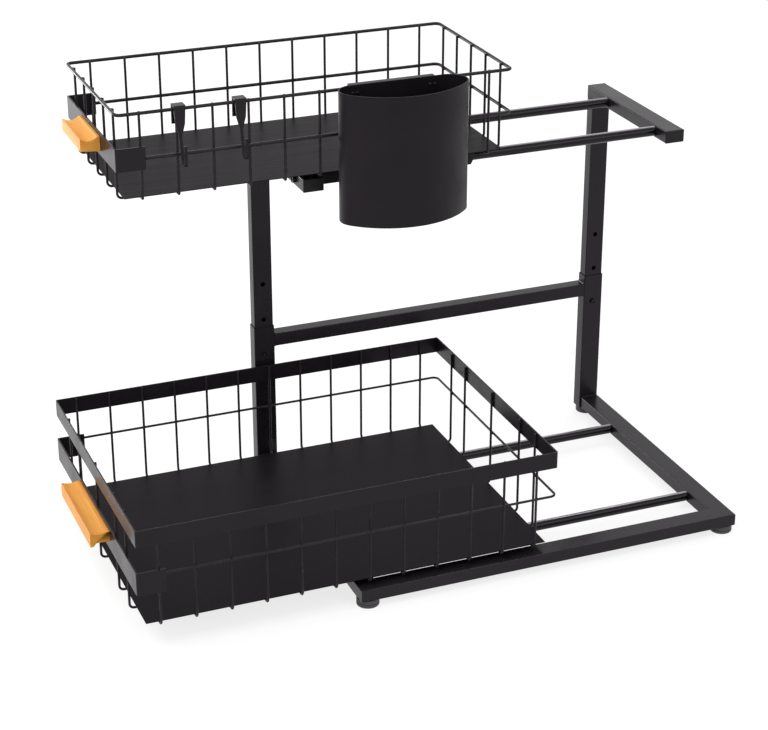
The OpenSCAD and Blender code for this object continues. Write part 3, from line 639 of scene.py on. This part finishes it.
class BASKET_OT_base_frame(bpy.types.Operator):
    """Ease the base tubes, the sleeves and the crossbar, and weld them together"""
    bl_idname = "basket.base_frame"
    bl_label = "Base frame"

    def execute(self, context):
        detail = context.scene.basket_detail
        for node in ("base_front_bar", "base_side_bar", "base_back_bar", "front_sleeve", "back_sleeve",
                     "crossbar"):
            eased(node, "frame_paint", detail.tube_edge, shortest=30 * MM)
        self.welds(detail.bead)
        return {"FINISHED"}

    def welds(self, r):
        """Beads along the crossbar's ends, and where each end bar runs out of its sleeve."""
        lift = max(0, r - BEAD_BITE)
        bm = bmesh.new()
        low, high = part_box("crossbar")
        for y in (low.y + lift, high.y - lift):
            for z in (low.z, high.z):
                bead(bm, (low.x + r, y, z), (high.x - r, y, z), r)
        for sleeve, bar in (("front_sleeve", "base_front_bar"), ("back_sleeve", "base_back_bar")):
            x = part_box(sleeve)[1].x + lift
            low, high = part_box(bar)
            bead(bm, (x, low.y + r, high.z), (x, high.y - r, high.z), r)
        add_piece("base_weld_beads", bm, "base_frame", "frame_paint")


class BASKET_OT_feet(bpy.types.Operator):
    """Turn the four levelling feet with a soft edge and a grip ring"""
    bl_idname = "basket.feet"
    bl_label = "Feet"

    def execute(self, context):
        bm = bmesh.new()
        for low, high in islands("feet"):
            wide, tall = (high.x - low.x) / 2 / MM, (high.z - low.z) / MM
            middle = (low + high) / 2
            foot = turned(self.outline(wide, tall), (0, 0, 1), 40)
            bmesh.ops.translate(foot, vec=(middle.x, middle.y, low.z), verts=foot.verts)
            pour(bm, foot)
        add_piece("levelling_feet", bm, "base_frame", "foot_rubber", ["feet"], sharp=50)
        return {"FINISHED"}

    def outline(self, wide, tall):
        """From the floor up: soft sole, grip groove, eased shoulder and the stem, in mm."""
        groove, shoulder, stem = wide - 0.5, 7.5, 3.0
        return [(0, 0), (wide - 1.0, 0), (wide - 0.35, 0.15), (wide, 0.8),
                (wide, 2.9), (groove, 3.2), (groove, 3.6), (wide, 3.9),
                (wide, shoulder - 0.9), (wide - 0.3, shoulder - 0.3), (wide - 0.9, shoulder - 0.02),
                (stem, shoulder - 0.02), (stem, tall), (0, tall)]


class BASKET_OT_posts_and_arms(bpy.types.Operator):
    """Ease the sliding posts and the top arms, cap them and weld them"""
    bl_idname = "basket.posts_and_arms"
    bl_label = "Posts and arms"

    def execute(self, context):
        detail = context.scene.basket_detail
        for node in ("front_post", "back_post", "front_arm", "back_arm"):
            eased(node, "frame_paint", detail.tube_edge, shortest=30 * MM)
        for node in ("arm_end_plugs", "sleeve_plugs"):
            eased(node, "black_plastic", PLUG_EDGE, segments=2, angle=60)
        eased("height_lock_screws", "screw_steel", SCREW_EDGE, segments=2, angle=60)
        self.welds(detail.bead)
        return {"FINISHED"}

    def welds(self, r):
        """A bead across the top of each post, where its arm starts."""
        bm = bmesh.new()
        for post in ("front_post", "back_post"):
            low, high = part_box(post)
            bead(bm, (high.x, low.y + r, high.z), (high.x, high.y - r, high.z), r)
        add_piece("arm_weld_beads", bm, "upper_frame", "frame_paint")


class BASKET_OT_slide_rods(bpy.types.Operator):
    """Finish the round rods that the drawers slide on, with a painted highlight along their tops, and ease
    the screws in their front ends
    """
    bl_idname = "basket.slide_rods"
    bl_label = "Slide rods"

    def execute(self, context):
        wear(["lower_slide_rods", "upper_slide_rods"], finishes["rod_finish"])
        for node in ("lower_rod_screws", "upper_rod_screws"):
            eased(node, "screw_steel", SCREW_EDGE, segments=2, angle=60)
        return {"FINISHED"}


class BASKET_OT_wires(bpy.types.Operator):
    """Dip the basket wires, round their tips and set a weld wherever two of them touch"""
    bl_idname = "basket.wires"
    bl_label = "Basket wires"

    def execute(self, context):
        for node in ("upper_cross_wires", "upper_long_wires", "lower_cross_wires", "lower_long_wires"):
            eased(node, "wire_coat", WIRE_TIP, angle=70)
        wear(["upper_rim_wire", "upper_mid_wire", "lower_mid_wire"], finishes["wire_coat"])
        nugget = context.scene.basket_detail.nugget
        self.welds("upper", nugget, [("upper_rim_wire", 0.5), ("upper_mid_wire", 0.5)])
        self.welds("lower", nugget, [("lower_rim_band", 0.3), ("lower_rim_band", 0.7),
                                     ("lower_mid_wire", 0.5)])
        return {"FINISHED"}

    def welds(self, tier, n, hoops):
        """Nuggets on each hoop, at a share of its height, and where the wires cross under the tray."""
        touch = 4 * MM
        cross, along = islands(f"{tier}_cross_wires"), islands(f"{tier}_long_wires")
        bm = bmesh.new()
        for hoop, share in hoops:
            low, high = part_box(hoop)
            z = low.z + share * (high.z - low.z)
            for a, b in cross:
                y = (a.y + b.y) / 2
                if y >= low.y:
                    for x in (a.x, b.x):
                        pebble(bm, (x, y, z), (0.8 * n, 1.05 * n, 1.2 * n))
            for a, b in along:
                x = (a.x + b.x) / 2
                for y in (a.y, b.y):
                    if y + touch > low.y:
                        pebble(bm, (x, y, z), (1.05 * n, 0.8 * n, 1.2 * n))
        for a, b in cross:
            for c, d in along:
                pebble(bm, ((c.x + d.x) / 2, (a.y + b.y) / 2, a.z), (1.1 * n, 1.1 * n, 0.6 * n))
        add_piece(f"{tier}_spot_welds", bm, f"{tier}_drawer", "wire_coat")


class BASKET_OT_band_and_straps(bpy.types.Operator):
    """Ease the flat rim band and the two front straps"""
    bl_idname = "basket.band_and_straps"
    bl_label = "Rim band and straps"

    def execute(self, context):
        detail = context.scene.basket_detail
        for node in ("lower_rim_band", "lower_front_strap", "upper_front_strap"):
            eased(node, "strip_paint", detail.strip_edge, segments=2, angle=60)
        return {"FINISHED"}


class BASKET_OT_trays(bpy.types.Operator):
    """Press the two tray plates with a soft edge"""
    bl_idname = "basket.trays"
    bl_label = "Tray plates"

    def execute(self, context):
        for node in ("lower_plate", "upper_plate"):
            eased(node, "tray_plastic", PLATE_EDGE, segments=2, angle=60)
        return {"FINISHED"}


class BASKET_OT_handles(bpy.types.Operator):
    """Shape the two wooden grips with rounded edges"""
    bl_idname = "basket.handles"
    bl_label = "Wood grips"

    def execute(self, context):
        wood = context.scene.basket_wood
        for node in ("upper_handle", "lower_handle"):
            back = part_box(node)[1].y - 0.2 * MM
            eased(node, "handle_wood", wood.round_over, segments=4, angle=25,
                  only=lambda e: any(v.co.y <= back for v in e.verts))
        return {"FINISHED"}


class BASKET_OT_handle_screws(bpy.types.Operator):
    """Dome the screw heads and sink a cross into each"""
    bl_idname = "basket.handle_screws"
    bl_label = "Grip screws"

    def execute(self, context):
        for tier in ("upper", "lower"):
            node = f"{tier}_handle_screws"
            bm = bmesh.new()
            for low, high in islands(node):
                self.screw(bm, low, high)
            add_piece(f"{tier}_wood_screws", bm, f"{tier}_drawer", "screw_steel", [node])
        return {"FINISHED"}

    def screw(self, bm, low, high):
        """One wood screw that fills its node's box, point to the front."""
        head, long = (high.x - low.x) / 2 / MM, (high.y - low.y) / MM
        screw = turned(self.outline(head, long), (0, 1, 0), 32)
        self.sink_cross(screw, head * MM, long * MM)
        middle = (low + high) / 2
        bmesh.ops.translate(screw, vec=(middle.x, low.y, middle.z), verts=screw.verts)
        pour(bm, screw)

    def outline(self, head, long):
        """Point, shank, underside and dome, in mm."""
        shank, point, seat = 1.75, 2.4, long - 1.8
        return [(0, 0), (shank * 0.2, 0), (shank, point), (shank, seat), (head * 0.94, seat),
                (head, seat + 0.15), (head * 0.98, long - 1.1), (head * 0.86, long - 0.55),
                (head * 0.62, long - 0.16), (head * 0.42, long - 0.05), (0, long)]

    def sink_cross(self, screw, head, long):
        """Presses the driver's cross into the dome."""
        crown, half_arm, depth = 0.3 * MM, 0.42 * MM, 0.7 * MM
        for v in screw.verts:
            on_crown = v.co.y > long - crown and math.hypot(v.co.x, v.co.z) < head * 0.55
            if on_crown and min(abs(v.co.x), abs(v.co.z)) < half_arm:
                v.co.y -= depth


class BASKET_OT_slider_clips(bpy.types.Operator):
    """Ease the slider blocks that carry the drawers on the rods"""
    bl_idname = "basket.slider_clips"
    bl_label = "Slider blocks"

    def execute(self, context):
        for node in ("lower_slider_clips", "upper_slider_clips"):
            eased(node, "black_plastic", BLOCK_EDGE, shortest=2 * MM, angle=30)
        return {"FINISHED"}


class BASKET_OT_cup(bpy.types.Operator):
    """Coat the hanging cup, roll its lip and rivet its hanger"""
    bl_idname = "basket.cup"
    bl_label = "Hanging cup"

    def execute(self, context):
        detail = context.scene.basket_detail
        low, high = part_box("cup_shell")
        near = 0.01 * MM

        def round_mouth_or_foot(edge):
            heights = [v.co.z for v in edge.verts]
            return min(heights) > high.z - near or max(heights) < low.z + near

        eased("cup_shell", "cup_paint", CUP_LIP, angle=60, only=round_mouth_or_foot)
        eased("cup_hanger", "cup_paint", detail.strip_edge, segments=2, shortest=4 * MM, angle=60)
        self.rivets()
        return {"FINISHED"}

    def rivets(self):
        """Round heads inside the cup, with their shanks through the wall and the hanger."""
        dome, slim = 0.9 * MM, 0.48
        bm = bmesh.new()
        for low, high in islands("cup_rivets"):
            head = (high.z - low.z) / 2
            middle = (low + high) / 2
            made = bmesh.ops.create_uvsphere(bm, u_segments=20, v_segments=10, radius=1)["verts"]
            bmesh.ops.scale(bm, vec=(dome, head, head), verts=made)
            bmesh.ops.translate(bm, vec=(high.x - dome, middle.y, middle.z), verts=made)
            shank = bmesh.ops.create_cone(bm, cap_ends=True, segments=16, radius1=head * slim,
                                          radius2=head * slim, depth=high.x - low.x - 0.8 * MM)["verts"]
            bmesh.ops.rotate(bm, cent=(0, 0, 0), matrix=Matrix.Rotation(math.pi / 2, 3, "Y"), verts=shank)
            bmesh.ops.translate(bm, vec=(middle.x - 0.3 * MM, middle.y, middle.z), verts=shank)
        add_piece("cup_rivet_heads", bm, "hanging_cup", "screw_steel", ["cup_rivets"])


class BASKET_OT_hooks(bpy.types.Operator):
    """Ease the two rim hooks"""
    bl_idname = "basket.hooks"
    bl_label = "Rim hooks"

    def execute(self, context):
        detail = context.scene.basket_detail
        for node in ("front_hook", "back_hook"):
            eased(node, "strip_paint", detail.strip_edge, segments=2, shortest=0.6 * MM, angle=60)
        return {"FINISHED"}


STEPS = (
    BASKET_OT_studio,
    BASKET_OT_base_frame,
    BASKET_OT_feet,
    BASKET_OT_posts_and_arms,
    BASKET_OT_slide_rods,
    BASKET_OT_wires,
    BASKET_OT_band_and_straps,
    BASKET_OT_trays,
    BASKET_OT_handles,
    BASKET_OT_handle_screws,
    BASKET_OT_slider_clips,
    BASKET_OT_cup,
    BASKET_OT_hooks,
)
SETTINGS = {
    "basket_paint": BasketPaint,
    "basket_wood": BasketWood,
    "basket_detail": BasketDetail,
    "basket_studio": BasketStudio,
}


class BASKET_PT_pieces(bpy.types.Panel):
    bl_idname = "BASKET_PT_pieces"
    bl_label = "Pull-out basket"
    bl_space_type = "VIEW_3D"
    bl_region_type = "UI"
    bl_category = "Basket"

    def draw(self, context):
        for name, group in SETTINGS.items():
            box = self.layout.box()
            for prop in group.__annotations__:
                box.prop(getattr(context.scene, name), prop)
        for step in STEPS:
            self.layout.operator(step.bl_idname)


def register():
    for group in (*SETTINGS.values(), *STEPS, BASKET_PT_pieces):
        bpy.utils.register_class(group)
    for name, group in SETTINGS.items():
        setattr(bpy.types.Scene, name, bpy.props.PointerProperty(type=group))


def unregister():
    for name in SETTINGS:
        delattr(bpy.types.Scene, name)
    for group in reversed((*SETTINGS.values(), *STEPS, BASKET_PT_pieces)):
        bpy.utils.unregister_class(group)


def main():
    register()
    mix_finishes()
    for step in STEPS:
        family, name = step.bl_idname.split(".")
        getattr(getattr(bpy.ops, family), name)()


if __name__ == "__main__":
    main()
